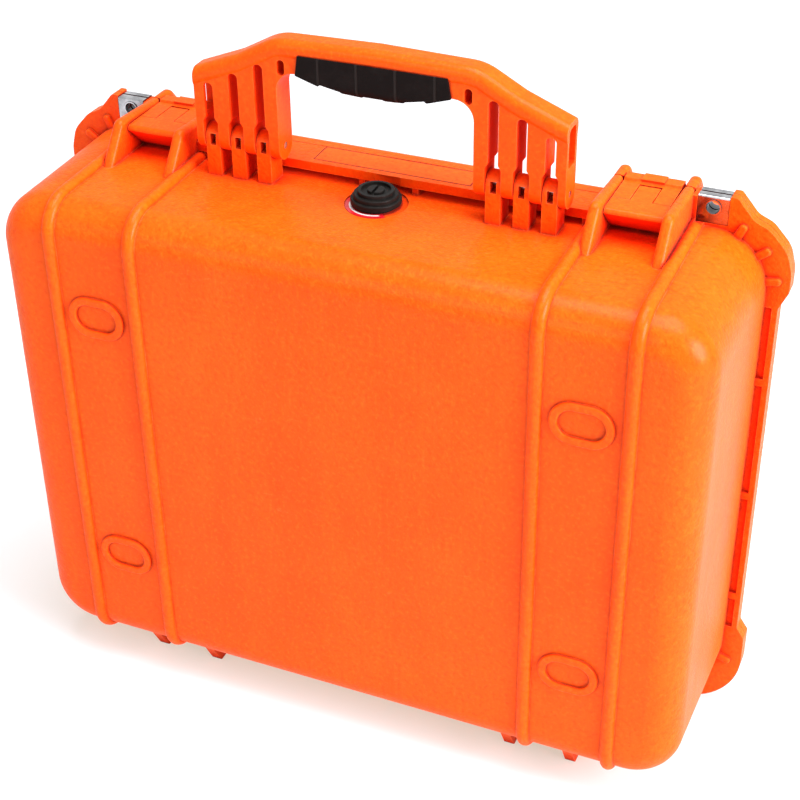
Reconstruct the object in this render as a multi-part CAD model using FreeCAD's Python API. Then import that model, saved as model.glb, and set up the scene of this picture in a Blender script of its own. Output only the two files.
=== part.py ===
# Hard laptop case of moulded plastic, standing upright on its hinge feet with the handle raised.
# Millimetres. X runs along the case's width, Y from the deep base shell towards the lid, Z upwards.
# The origin is on the floor, under the middle of the case.
# The base shell is on the -Y side, the lid on the +Y side, and they meet at the parting plane.

import FreeCAD
import Part
import math
import os

Vector = FreeCAD.Vector
os.makedirs("parts", exist_ok=True)

# Two moulded shells: outside sizes at the parting plane, and how deep each shell is
body_width = 470.0
body_height = 349.0
body_floor_gap = 22.0
body_corner = 36.0
base_depth = 128.0
lid_depth = 44.0
base_side_draft = 1.5
base_height_draft = 3.0
lid_side_draft = 3.0
lid_height_draft = 3.0
wall = 4.5
base_edge_radius = 22.0
lid_edge_radius = 28.0
lid_gap = 0.4

# Flange round the parting plane, with its corner lobes, raised fingers, side channels and short ribs
flange_plate = 4.0
flange_depth = 6.0
rim_width = 3.5
flange_reach = 8.5
flange_drop = 12.0
ledge_rise = 9.8
lid_ledge_drop = 3.0
lobe_reach = 14.0
lobe_rise = 20.5
lobe_flat = 4.5
lobe_waist_run = 15.5
lobe_waist_drop = 13.0
lobe_waist_round = 12.0
lobe_crest_run = 25.0
lobe_crest_drop = 17.0
lobe_crest_round = 14.0
lobe_shoulder_run = 37.0
lobe_shoulder_drop = 30.0
lobe_widest_drop = 44.0
lobe_side_height = 12.0
lobe_neck_height = 12.0
lower_lobe_top = 72.0
lower_lobe_step = 8.0
lower_lobe_corner = 44.0
lower_lobe_foot = 54.0
round_large = 20.0
round_small = 3.0
round_tiny = 0.8
finger_rib_width = 5.0
finger_rib_length = 9.5
finger_rib_rise = 3.0
finger_rib_round = 2.3
finger_rib_angles = (64.0, 37.0, 10.0)
lower_finger_rib_angle = -20.0
side_rib_shares = (0.22, 0.46, 0.71)

# Half-round rib beads that run round both shells
bead_radius = 4.5
bead_sink = 0.5
bead_root = 2.0
bead_inner_inset = 102.6
bead_outer_inset = 45.2

# Raised oval rings on the base's large face
oval_inset = 73.8
oval_upper_drop = 76.0
oval_lower_lift = 83.0
oval_radius = 14.5
oval_stretch = 11.0
oval_ring = 5.5
oval_height = 2.5
oval_round = 1.4

# Shelf along the base flange between the latches, with its blank name plate
shelf_depth = 32.0
shelf_thickness = 6.0
shelf_end_inset = 99.0
gusset_thickness = 4.0
gusset_setback = 1.0
gusset_inner_x = 18.0
gusset_end_inset = 8.0
plate_length = 106.0
plate_width = 19.5
plate_thickness = 1.2
plate_margin = 4.8
plate_clearance = 0.45
shelf_line_width = 0.7
shelf_line_depth = 0.6

# Hinge along the bottom of the parting plane, and the stand-up feet beside it
hinge_inset = 99.0
hinge_height = 9.0
hinge_pin_radius = 2.5
knuckle_radius = 6.5
knuckle_clearance = 0.4
knuckle_share = 0.33
shaft_clearance = 0.05
foot_spacing = 44.0
foot_thickness = 7.0
base_foot_reach = 112.0
lid_foot_reach = 32.0
foot_slope = 13.0
notch_angle = 42.0
notch_clearance = 0.3

# Latch wings, the catch on the base and the two-piece latch
latch_inset = 74.8
wing_spacing = 44.0
wing_thickness = 7.4
wing_reach = 70.0
wing_kink_run = 22.0
wing_rise = 23.5
wing_fall = 3.0
wing_round = 3.2
lid_wing_reach = 25.0
lid_wing_step = 9.0
latch_pin_radius = 2.0
latch_pin_back = 5.0
latch_pin_rise = 14.6
latch_side_clearance = 0.6
latch_rise = 19.0
latch_arm_width = 10.6
latch_arm_height = 8.6
latch_front = 44.0
latch_lever_length = 16.0
latch_bevel_height = 18.2
latch_lip = 3.0
latch_seam = 0.6
lever_tail = 8.2
lever_tail_lift = 2.2
lever_hub = 4.0
latch_knuckle_rise = 2.0
latch_block_rise = 1.4
latch_block_depth = 9.5
latch_block_bevel = 1.0
latch_eye_radius = 4.2
lever_pin_forward = 19.0
lever_pin_radius = 1.6
lever_pin_rise = 14.6
catch_lip_depth = 7.0
catch_lip_thickness = 2.2
hook_thickness = 4.5
hook_toe = 4.2
hook_toe_height = 2.5
hook_clearance = 0.5
catch_wall = 10.0

# Steel padlock guards that wrap over the flange beside each latch
guard_inset = 36.5
guard_width = 19.0
guard_height = 16.4
guard_sheet = 1.2
guard_fit = 0.3
guard_rise = 18.1
eyelet_radius = 5.0
eyelet_bore_radius = 4.2
eyelet_lip = 0.6
eyelet_drop = 5.7

# Carrying handle: forked legs on three lugs each side, a rounded rail and a soft grip
handle_setback = 43.0
handle_pin_rise = 24.0
handle_pin_radius = 2.25
handle_pin_inset = 0.4
lug_radius = 7.5
lug_pitch = 17.7
lug_width = 9.6
lug_side_clearance = 0.4
lug_middle_x = 93.8
lug_window_width = 4.0
lug_window_below = 4.7
lug_window_above = 2.8
leg_inner_x = 64.0
leg_outer_x = 121.5
leg_depth = 18.0
fork_height = 14.5
fork_neck = 3.0
slot_width = 6.5
slot_rises = (54.5, 46.0, 37.5)
leg_shoulder_x = 89.0
leg_shoulder_rise = 52.2
leg_outer_rise = 36.0
leg_inner_rise = 63.0
leg_round = 12.5
web_rise = 52.0
web_slot_x = 60.4
web_slot_width = 5.0
web_slot_low = 2.2
web_slot_length = 9.8
rail_depth = 20.0
rail_height = 12.6
rail_round = 5.6
rail_rise = 73.5
rail_sag = 1.5
rail_bend_x = 64.0
rail_end_rise = 35.7
rail_overrun = 9.0
rail_bend_radius = 26.0
rail_pocket_depth = 11.0
rail_pocket_drop = 18.0
rail_pocket_wall = 3.0
grip_half_length = 48.0
grip_end_depth = 12.4
grip_belly = 9.0
grip_width = 22.0
grip_round = 7.0
grip_inlay = 5.0
grip_groove = 1.2
grip_grooves = 3
grip_ramp = 1.4
grip_end_flare = 2.0

# Pressure valve in the top wall, with its turning knob and an arc of plain label
valve_setback = 50.0
valve_recess_radius = 20.0
valve_recess_depth = 0.8
valve_flange_radius = 13.0
valve_flange_height = 2.0
valve_stem_radius = 7.0
valve_stem_length = 12.0
valve_spigot_radius = 4.0
valve_spigot_height = 3.6
valve_nut_width = 21.0
valve_nut_height = 4.5
valve_ring_radius = 1.0
valve_ring_path = 10.0
knob_radius = 16.0
knob_height = 10.5
knob_brim = 3.4
knob_step_radius = 14.2
knob_step_height = 6.2
knob_rim_radius = 11.6
knob_rim_inner = 9.4
knob_groove_depth = 1.6
knob_boss_radius = 5.4
knob_notch = 2.0
knob_round = 0.9
knob_gap = 0.3
label_inner = 14.2
label_outer = 19.4
label_thickness = 0.4
label_start_angle = 175.0
label_sweep_angle = 134.0

# Rubber seal in the lid's groove, and the tongue on the base that presses on it
seal_offset = 3.0
seal_width = 4.0
seal_depth = 2.8
seal_groove_depth = 3.6
seal_clearance = 0.2
tongue_width = 2.0
tongue_gap = 0.1

# Foam inside: a solid lower block, a frame with the laptop's pocket and a pad in the lid
foam_clearance = 0.6
foam_layer_gap = 0.3
foam_block_face = 4.0
foam_lid_face = 5.0
laptop_length = 385.0
laptop_width = 275.0
laptop_pocket_depth = 42.0
laptop_corner = 14.0
finger_notch_radius = 17.0
foam_valve_radius = 17.0
foam_valve_depth = 18.0

# One overrun for cuts that must pass a face, and the shortest edge that an outline keeps
cut_past = 1.0
smallest_edge = 0.0001

# A whole turn in degrees, and the number of flats on the valve's nut
full_turn_angle = 360.0
nut_sides = 6

# Places worked out from the sizes above
half_width = body_width / 2
body_bottom = body_floor_gap
body_top = body_floor_gap + body_height
latch_x = half_width - latch_inset
guard_x = half_width - guard_inset
bead_inner_x = half_width - bead_inner_inset
bead_outer_x = half_width - bead_outer_inset
oval_x = half_width - oval_inset
oval_upper_z = body_top - oval_upper_drop
oval_lower_z = body_bottom + oval_lower_lift
shelf_end_x = half_width - shelf_end_inset
gusset_places = (gusset_inner_x, shelf_end_x - gusset_end_inset)
hinge_x = half_width - hinge_inset
wing_top = body_top + wing_rise
latch_top = body_top + latch_rise
latch_pin_height = body_top + latch_pin_rise
lever_pin_height = body_top + lever_pin_rise
handle_pin_z = body_top + handle_pin_rise
slot_tops = [handle_pin_z + rise for rise in slot_rises]
leg_shoulder_z = handle_pin_z + leg_shoulder_rise
leg_outer_top = handle_pin_z + leg_outer_rise
leg_inner_top = handle_pin_z + leg_inner_rise
web_low = handle_pin_z + web_rise
rail_top = handle_pin_z + rail_rise
rail_end_z = handle_pin_z + rail_end_rise
parting_y = (base_depth - lid_depth) / 2
handle_y = parting_y - handle_setback
valve_y = parting_y - valve_setback
front_y = parting_y - base_depth
back_y = parting_y + lid_depth
lid_face_y = parting_y + lid_gap
pocket_floor_y = parting_y - foam_block_face - laptop_pocket_depth
ledge_top = body_top + ledge_rise
lobe_top = body_top + lobe_rise
guard_seat = body_top + guard_rise
flange_bottom = body_bottom - flange_drop
flange_side = half_width + flange_reach
channel_top = lobe_top - lobe_widest_drop - lobe_side_height - lobe_neck_height
guard_end = guard_x + guard_width / 2 + guard_fit
lobe_side = half_width + lobe_reach
flange_front_y = parting_y - flange_depth
flange_back_y = parting_y + flange_depth
wing_outer_x = latch_x + wing_spacing / 2
wing_inner_x = latch_x - wing_spacing / 2
latch_half_width = (wing_spacing - wing_thickness) / 2 - latch_side_clearance
latch_pin_y = parting_y + latch_pin_back
lever_pin_y = latch_pin_y - lever_pin_forward
latch_bottom = latch_top - latch_arm_height
body_inner_top = body_top - wall


def top_of_base(y):
    return body_top - base_height_draft * (parting_y - y) / base_depth


def save(name, shape):
    solid = shape.removeSplitter()
    if solid.ShapeType == "Compound" and len(solid.Solids) == 1:
        solid = solid.Solids[0]
    solid.exportStep("parts/" + name + ".step")
    print(name, "solids", len(solid.Solids), "volume", round(solid.Volume), "valid", solid.isValid())


def box(x1, x2, y1, y2, z1, z2):
    return Part.makeBox(x2 - x1, y2 - y1, z2 - z1, Vector(x1, y1, z1))


def rod_x(x1, x2, y, z, radius):
    return Part.makeCylinder(radius, x2 - x1, Vector(x1, y, z), Vector(1, 0, 0))


def rod_y(x, y1, y2, z, radius):
    return Part.makeCylinder(radius, y2 - y1, Vector(x, y1, z), Vector(0, 1, 0))


def rod_z(x, y, z1, z2, radius):
    return Part.makeCylinder(radius, z2 - z1, Vector(x, y, z1), Vector(0, 0, 1))


def mirrored(shape):
    return shape.mirror(Vector(0, 0, 0), Vector(1, 0, 0))


def fused(shapes):
    return shapes[0].fuse(shapes[1:])


# Edges of an outline whose corners are given as (u, v, radius); place turns (u, v) into a point.
def outline_edges(corners, place, closed=True):
    count = len(corners)
    starts = []
    ends = []
    arcs = []
    for i, (u, v, radius) in enumerate(corners):
        here = Vector(u, v, 0)
        is_end = not closed and i in (0, count - 1)
        if radius == 0 or is_end:
            starts.append(here)
            ends.append(here)
            arcs.append(None)
            continue
        before = corners[i - 1]
        after = corners[(i + 1) % count]
        to_before = (Vector(before[0], before[1], 0) - here).normalize()
        to_after = (Vector(after[0], after[1], 0) - here).normalize()
        half = to_before.getAngle(to_after) / 2
        reach = radius / math.tan(half)
        middle = (to_before + to_after).normalize() * (radius / math.sin(half) - radius)
        starts.append(here + to_before * reach)
        ends.append(here + to_after * reach)
        arcs.append(here + middle)
    edges = []
    spans = count if closed else count - 1
    for i in range(count):
        if arcs[i] is not None:
            three = [place(point.x, point.y) for point in (starts[i], arcs[i], ends[i])]
            edges.append(Part.Arc(*three).toShape())
        if i < spans:
            following = starts[(i + 1) % count]
            if following.distanceToPoint(ends[i]) > smallest_edge:
                edges.append(Part.makeLine(place(ends[i].x, ends[i].y), place(following.x, following.y)))
    return edges


def face_xz(corners, y):
    return Part.Face(Part.Wire(outline_edges(corners, lambda u, v: Vector(u, y, v))))


def face_yz(corners, x):
    return Part.Face(Part.Wire(outline_edges(corners, lambda u, v: Vector(x, u, v))))


def prism_y(corners, y1, y2):
    return face_xz(corners, y1).extrude(Vector(0, y2 - y1, 0))


def prism_x(corners, x1, x2):
    return face_yz(corners, x1).extrude(Vector(x2 - x1, 0, 0))


def rounded_rectangle(half, low, high, radius):
    return [(-half, high, radius), (half, high, radius), (half, low, radius), (-half, low, radius)]


def mirrored_outline(right_side):
    left_side = [(-u, v, radius) for u, v, radius in reversed(right_side)]
    return right_side + left_side


# A moulded tray: wide at the rim, narrower at its closed face, with that face's edges rounded.
def tray(rim_y, face_y, inset, side_draft, height_draft, edge_radius):
    low = body_bottom + inset
    high = body_top - inset
    rim = rounded_rectangle(half_width - inset, low, high, body_corner - inset)
    face = rounded_rectangle(half_width - inset - side_draft, low + height_draft, high - height_draft,
                             body_corner - inset - side_draft)
    wires = [Part.Wire(outline_edges(corners, lambda u, v, y=y: Vector(u, y, v)))
             for corners, y in ((rim, rim_y), (face, face_y))]
    solid = Part.makeLoft(wires, True, True)
    face_edges = [edge for edge in solid.Edges
                  if all(abs(vertex.Y - face_y) < round_tiny for vertex in edge.Vertexes)]
    return solid.makeFillet(edge_radius, face_edges)


def base_cavity(clearance):
    inset = wall + clearance
    return tray(parting_y, front_y + inset, inset, base_side_draft, base_height_draft,
                base_edge_radius - inset)


def lid_cavity(clearance):
    inset = wall + clearance
    return tray(parting_y, back_y - inset, inset, lid_side_draft, lid_height_draft,
                lid_edge_radius - inset)


# The line that a rib bead follows: out along the bottom, over the large face and back along the top.
def bead(x, face_y, height_draft, edge_radius):
    away = 1 if face_y < parting_y else -1
    rim_y = parting_y - away * flange_plate / 2
    corners = [(rim_y, body_bottom, 0), (face_y, body_bottom + height_draft, edge_radius),
               (face_y, body_top - height_draft, edge_radius), (rim_y, body_top, 0)]
    path = Part.Wire(outline_edges(corners, lambda u, v: Vector(x, u, v), closed=False))
    crown = Part.Arc(Vector(x - bead_radius, rim_y, body_bottom + bead_sink),
                     Vector(x, rim_y, body_bottom + bead_sink - bead_radius),
                     Vector(x + bead_radius, rim_y, body_bottom + bead_sink)).toShape()
    root = Part.makePolygon([Vector(x + bead_radius, rim_y, body_bottom + bead_sink),
                             Vector(x + bead_radius, rim_y, body_bottom + bead_root),
                             Vector(x - bead_radius, rim_y, body_bottom + bead_root),
                             Vector(x - bead_radius, rim_y, body_bottom + bead_sink)])
    section = Part.Wire([crown] + root.Edges)
    return path.makePipeShell([section], True, False)


def beads(face_y, height_draft, edge_radius):
    places = (-bead_outer_x, -bead_inner_x, bead_inner_x, bead_outer_x)
    return [bead(x, face_y, height_draft, edge_radius) for x in places]


# Half of the flange's outline, from its top edge round the corner lobes to the bottom.
def flange_right_side(top_z):
    step_x = wing_outer_x + wing_thickness / 2
    widest = lobe_top - lobe_widest_drop
    return [
        (step_x, top_z, round_tiny),
        (step_x, guard_seat, 0),
        (guard_end, guard_seat, 0),
        (guard_end, lobe_top, round_tiny),
        (guard_end + lobe_flat, lobe_top, round_small),
        (guard_end + lobe_waist_run, lobe_top - lobe_waist_drop, lobe_waist_round),
        (guard_end + lobe_crest_run, lobe_top - lobe_crest_drop, lobe_crest_round),
        (guard_end + lobe_shoulder_run, lobe_top - lobe_shoulder_drop, round_large),
        (lobe_side, widest, round_large),
        (lobe_side, widest - lobe_side_height, round_small),
        (flange_side, channel_top, round_small),
        (flange_side, lower_lobe_top, round_small),
        (lobe_side, lower_lobe_top - lower_lobe_step, round_small),
        (lobe_side, 0, lower_lobe_corner),
        (lobe_side - lower_lobe_foot, 0, round_small),
        (lobe_side - lower_lobe_foot - lower_lobe_step, flange_bottom, round_small),
    ]


# The flange on one side of the parting plane, with a channel along each straight side.
def flange(near_y, plate_y, outer_y, top_z):
    solid = prism_y(mirrored_outline(flange_right_side(top_z)), near_y, outer_y)
    channel = box(half_width - wall, flange_side - rim_width, min(plate_y, outer_y), max(plate_y, outer_y),
                  lower_lobe_top, channel_top)
    return solid.cut([channel, mirrored(channel)])


# Rounded fingers on the lobes, and short ribs across the channels.
def flange_ribs(near_y, outer_y):
    ribs = []
    raised_y = outer_y + math.copysign(finger_rib_rise, outer_y - near_y)
    corner_x = half_width - body_corner
    upper_z = body_top - body_corner
    lower_z = body_bottom + body_corner
    fans = [(angle, upper_z) for angle in finger_rib_angles] + [(lower_finger_rib_angle, lower_z)]
    for angle, corner_z in fans:
        start = body_corner - wall / 2
        end = body_corner + finger_rib_length
        half = finger_rib_width / 2
        rib = prism_y([(start, half, 0), (end, half, finger_rib_round), (end, -half, finger_rib_round),
                       (start, -half, 0)], near_y, raised_y)
        crown = [edge for edge in rib.Edges
                 if all(abs(vertex.Y - raised_y) < round_tiny and vertex.X > start
                        for vertex in edge.Vertexes)]
        rib = rib.makeFillet(finger_rib_rise / 2, crown)
        rib.rotate(Vector(0, 0, 0), Vector(0, 1, 0), -angle)
        rib.translate(Vector(corner_x, 0, corner_z))
        ribs.append(rib)
    for share in side_rib_shares:
        z = body_bottom + body_height * share
        ribs.append(box(half_width - wall / 2, flange_side - rim_width / 2,
                        min(near_y, outer_y), max(near_y, outer_y),
                        z - finger_rib_width / 2, z + finger_rib_width / 2))
    return ribs + [mirrored(rib) for rib in ribs]


# Everything below the hinge axis is cut back to a slope, so that the lid can turn past square.
def hinge_notch():
    depth = hinge_height + cut_past
    spread = depth / math.tan(math.radians(notch_angle))
    widen = notch_clearance / math.sin(math.radians(notch_angle))
    corners = [(parting_y, hinge_height + notch_clearance, 0),
               (parting_y + spread + widen, hinge_height - depth, 0),
               (parting_y - spread - widen, hinge_height - depth, 0)]
    return prism_x(corners, -lobe_side - cut_past, lobe_side + cut_past)


# A pair of stand-up feet beside each hinge; side is -1 for the base and 1 for the lid.
def feet(side, reach, start_y):
    shapes = []
    for offset in (-foot_spacing / 2, foot_spacing / 2):
        corners = [(start_y, body_bottom + wall / 2, 0), (start_y, 0, 0),
                   (parting_y + side * (reach - foot_slope), 0, round_small),
                   (parting_y + side * reach, body_bottom + wall / 2, 0)]
        x = hinge_x + offset
        shapes.append(prism_x(corners, x - foot_thickness / 2, x + foot_thickness / 2))
    return shapes


# Knuckle places along one hinge, from its inner foot to its outer foot: base, lid, base.
def knuckle_spans():
    start = hinge_x - foot_spacing / 2 + foot_thickness / 2
    length = foot_spacing - foot_thickness
    first = start + length * knuckle_share
    second = start + length * (1 - knuckle_share)
    return ((start, first), (first, second), (second, start + length))


def knuckle(x1, x2, side):
    barrel = rod_x(x1, x2, parting_y, hinge_height, knuckle_radius)
    near = parting_y if side < 0 else lid_face_y
    far = near + side * flange_plate
    web = box(x1, x2, min(near, far), max(near, far), hinge_height, body_bottom + wall / 2)
    return barrel.fuse(web)


def hinge_parts(side):
    spans = knuckle_spans()
    own = (spans[0], spans[2]) if side < 0 else (spans[1],)
    other = (spans[1],) if side < 0 else (spans[0], spans[2])
    inset = knuckle_clearance / 2
    adds = [knuckle(x1 if side < 0 and x1 == spans[0][0] else x1 + inset,
                    x2 if side < 0 and x2 == spans[2][1] else x2 - inset, side) for x1, x2 in own]
    room = [rod_x(x1 - inset, x2 + inset, parting_y, hinge_height, knuckle_radius + knuckle_clearance)
            for x1, x2 in other]
    bore = rod_x(hinge_x - foot_spacing, hinge_x + foot_spacing, parting_y, hinge_height,
                 hinge_pin_radius + shaft_clearance)
    return adds, room, bore


# A wing beside a latch, as a profile across the case; its upper edges are rounded off.
def wing(x, corners):
    solid = prism_x(corners, x - wing_thickness / 2, x + wing_thickness / 2)
    edges = [edge for edge in solid.Edges
             if abs(edge.Vertexes[0].X - edge.Vertexes[-1].X) < round_tiny
             and max(vertex.Z for vertex in edge.Vertexes) > ledge_top]
    return solid.makeFillet(wing_round, edges)


def base_wing_profile():
    foot_y = parting_y - wing_reach
    low = body_top - wall / 2 - base_height_draft
    return [(foot_y, low, 0), (foot_y + wing_kink_run, wing_top, round_small * 2),
            (parting_y - hook_clearance, wing_top - wing_fall, 0), (parting_y - hook_clearance, low, 0)]


def lid_wing_profile():
    low = body_top - wall / 2 - lid_height_draft
    far = lid_face_y + lid_wing_reach
    return [(far + lid_wing_step / 2, low, 0), (far, latch_pin_height - lid_wing_step / 2, round_small),
            (far - lid_wing_step, wing_top - wing_fall, round_small * 2),
            (lid_face_y, wing_top - wing_fall, 0), (lid_face_y, low, 0)]


def stadium(x, z, radius, stretch, y1, y2):
    half = stretch / 2
    corners = [(x - half - radius, z - radius, radius), (x + half + radius, z - radius, radius),
               (x + half + radius, z + radius, radius), (x - half - radius, z + radius, radius)]
    return prism_y(corners, y1, y2)


def oval_ring_shape(x, z):
    face_y = front_y - oval_height
    outer = stadium(x, z, oval_radius, oval_stretch, face_y, front_y + wall / 2)
    inner = stadium(x, z, oval_radius - oval_ring, oval_stretch, face_y - cut_past, front_y + wall)
    ring = outer.cut(inner)
    edges = [edge for edge in ring.Edges
             if all(abs(vertex.Y - face_y) < round_tiny for vertex in edge.Vertexes)]
    return ring.makeFillet(oval_round, edges)


# Block behind a padlock guard, on the side of the parting plane given by near and far.
def guard_boss(near_y, far_y):
    low = min(near_y, far_y)
    high = max(near_y, far_y)
    half = guard_width / 2 + guard_fit
    return box(guard_x - half - guard_fit, guard_x + half, low, high, body_top - wall / 2, guard_seat)


def guard_cuts(near_y, sheet_y, outward):
    half = guard_width / 2 + guard_fit
    past = sheet_y + outward * (flange_depth + cut_past)
    sheet = box(guard_x - half, guard_x + half, min(sheet_y, past), max(sheet_y, past),
                guard_seat - guard_height, lobe_top + cut_past)
    hole_z = guard_seat - eyelet_drop
    hole = rod_y(guard_x, min(near_y, sheet_y) - flange_depth, max(near_y, sheet_y) + flange_depth, hole_z,
                 eyelet_radius + shaft_clearance)
    return sheet, hole


# The guard is a strip folded over the flange, with a rolled eyelet through it.
def guard(near_y, sheet_y, outward):
    half = guard_width / 2
    outer_y = sheet_y + outward * guard_sheet
    face = box(guard_x - half, guard_x + half, min(sheet_y, outer_y), max(sheet_y, outer_y),
               guard_seat - guard_height + guard_fit, guard_seat + guard_sheet)
    top = box(guard_x - half, guard_x + half, min(near_y, outer_y), max(near_y, outer_y),
              guard_seat, guard_seat + guard_sheet)
    strip = face.fuse(top).removeSplitter()
    fold = [edge for edge in strip.Edges
            if all(abs(vertex.Y - outer_y) < round_tiny / 2 and
                   abs(vertex.Z - guard_seat - guard_sheet) < round_tiny / 2 for vertex in edge.Vertexes)]
    strip = strip.makeFillet(guard_sheet, fold)
    hole_z = guard_seat - eyelet_drop
    lip_y = outer_y + outward * eyelet_lip
    low = min(near_y, lip_y)
    high = max(near_y, lip_y)
    tube = rod_y(guard_x, low, high, hole_z, eyelet_radius)
    bore = rod_y(guard_x, low - cut_past, high + cut_past, hole_z, eyelet_bore_radius)
    return strip.fuse(tube).cut(bore)


base_guard_sheet_y = flange_front_y + guard_sheet
lid_guard_sheet_y = flange_back_y - guard_sheet


# Lugs on the top wall that carry the handle's pins.
def lug_places():
    return (lug_middle_x - lug_pitch, lug_middle_x, lug_middle_x + lug_pitch)


def lug(x):
    half = lug_width / 2
    low = top_of_base(handle_y) - wall / 2
    block = box(x - half, x + half, handle_y - lug_radius, handle_y + lug_radius, low, handle_pin_z)
    head = rod_x(x - half, x + half, handle_y, handle_pin_z, lug_radius)
    window = box(x - lug_window_width / 2, x + lug_window_width / 2,
                 handle_y - lug_radius - cut_past, handle_y,
                 handle_pin_z - lug_window_below, handle_pin_z + lug_window_above)
    return block.fuse(head).cut(window)


# The wall behind a latch and the lip that its hook catches under, both run into the wings beside them.
def base_latch_bay():
    half = wing_spacing / 2
    wall_y = parting_y - catch_wall
    wall_block = box(latch_x - half, latch_x + half, wall_y, parting_y, body_top - wall / 2, ledge_top)
    lip = box(latch_x - half, latch_x + half, wall_y - catch_lip_depth, wall_y,
              ledge_top - catch_lip_thickness, ledge_top)
    return [wall_block, lip]


def make_base_shell():
    outer = tray(parting_y, front_y, 0, base_side_draft, base_height_draft, base_edge_radius)
    shelf_y = parting_y - shelf_depth
    shelf = box(-shelf_end_x, shelf_end_x, shelf_y, parting_y, ledge_top - shelf_thickness, ledge_top)
    gussets = [box(x - gusset_thickness / 2, x + gusset_thickness / 2, shelf_y + gusset_setback, parting_y,
                   body_top - wall / 2, ledge_top - shelf_thickness / 2) for x in gusset_places]
    one_side = base_latch_bay()
    one_side += [wing(wing_inner_x, base_wing_profile()), wing(wing_outer_x, base_wing_profile())]
    one_side += [lug(x) for x in lug_places()]
    one_side += feet(-1, base_foot_reach, parting_y)
    one_side += [oval_ring_shape(oval_x, z) for z in (oval_upper_z, oval_lower_z)]
    one_side += [guard_boss(parting_y, flange_front_y)]
    one_side += gussets
    hinge_adds, hinge_room, hinge_bore = hinge_parts(-1)
    solid = fused([outer, flange(parting_y, parting_y - flange_plate, flange_front_y, ledge_top), shelf]
                  + beads(front_y, base_height_draft, base_edge_radius)
                  + flange_ribs(parting_y, flange_front_y)
                  + one_side + [mirrored(shape) for shape in one_side])
    solid = solid.cut([hinge_notch()] + hinge_room + [mirrored(shape) for shape in hinge_room])
    solid = fused([solid] + hinge_adds + [mirrored(shape) for shape in hinge_adds])
    sheet_cut, eyelet_hole = guard_cuts(parting_y, base_guard_sheet_y, -1)
    lug_bore = rod_x(leg_inner_x, leg_outer_x, handle_y, handle_pin_z, handle_pin_radius + shaft_clearance)
    cuts = [hinge_bore, sheet_cut, eyelet_hole, lug_bore]
    cuts += [mirrored(shape) for shape in cuts]
    valve_z = top_of_base(valve_y)
    plate_y = shelf_y + plate_margin
    plate_back = plate_y + plate_width
    plate_half = plate_length / 2 + plate_clearance
    cuts += [base_cavity(0),
             rod_z(0, valve_y, valve_z - valve_recess_depth, valve_z + knob_height, valve_recess_radius),
             rod_z(0, valve_y, valve_z - wall * 2, valve_z, valve_stem_radius + shaft_clearance),
             box(-plate_half, plate_half, plate_y - plate_clearance, plate_back + plate_clearance,
                 ledge_top - plate_thickness, ledge_top + cut_past),
             box(-shelf_end_x, shelf_end_x, plate_back, plate_back + shelf_line_width,
                 ledge_top - shelf_line_depth, ledge_top + cut_past)]
    solid = solid.cut(cuts)
    tongue_tip_y = lid_face_y + seal_groove_depth - seal_depth - tongue_gap
    return solid.fuse(seal_ring(tongue_width, parting_y - flange_plate / 2, tongue_tip_y))


# A ring round the rim, centred on the seal's line.
def seal_ring(width, y1, y2):
    def ring_outline(grow):
        out = seal_offset + grow
        return rounded_rectangle(half_width + out, body_bottom - out, body_top + out, body_corner + out)
    outer = prism_y(ring_outline(width / 2), y1, y2)
    inner = prism_y(ring_outline(-width / 2), y1 - cut_past, y2 + cut_past)
    return outer.cut(inner)


def make_lid_shell():
    outer = tray(lid_face_y, back_y, 0, lid_side_draft, lid_height_draft, lid_edge_radius)
    one_side = [wing(wing_inner_x, lid_wing_profile()), wing(wing_outer_x, lid_wing_profile())]
    one_side += feet(1, lid_foot_reach, lid_face_y)
    one_side += [guard_boss(lid_face_y, flange_back_y)]
    hinge_adds, hinge_room, hinge_bore = hinge_parts(1)
    solid = fused([outer, flange(lid_face_y, lid_face_y + flange_plate, flange_back_y,
                                  ledge_top - lid_ledge_drop)]
                  + beads(back_y, lid_height_draft, lid_edge_radius)
                  + flange_ribs(lid_face_y, flange_back_y)
                  + one_side + [mirrored(shape) for shape in one_side])
    below = box(-lobe_side, lobe_side, parting_y - flange_depth, lid_face_y, 0, wing_top)
    solid = solid.cut([below, hinge_notch()] + hinge_room + [mirrored(shape) for shape in hinge_room])
    solid = fused([solid] + hinge_adds + [mirrored(shape) for shape in hinge_adds])
    sheet_cut, eyelet_hole = guard_cuts(lid_face_y, lid_guard_sheet_y, 1)
    half = (wing_spacing + wing_thickness) / 2
    pin_bore = rod_x(latch_x - half, latch_x + half, latch_pin_y, latch_pin_height,
                     latch_pin_radius + shaft_clearance)
    cuts = [hinge_bore, sheet_cut, eyelet_hole, pin_bore]
    cuts += [mirrored(shape) for shape in cuts]
    groove = seal_ring(seal_width + seal_clearance, lid_face_y - cut_past, lid_face_y + seal_groove_depth)
    return solid.cut(cuts + [lid_cavity(0), groove])


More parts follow.
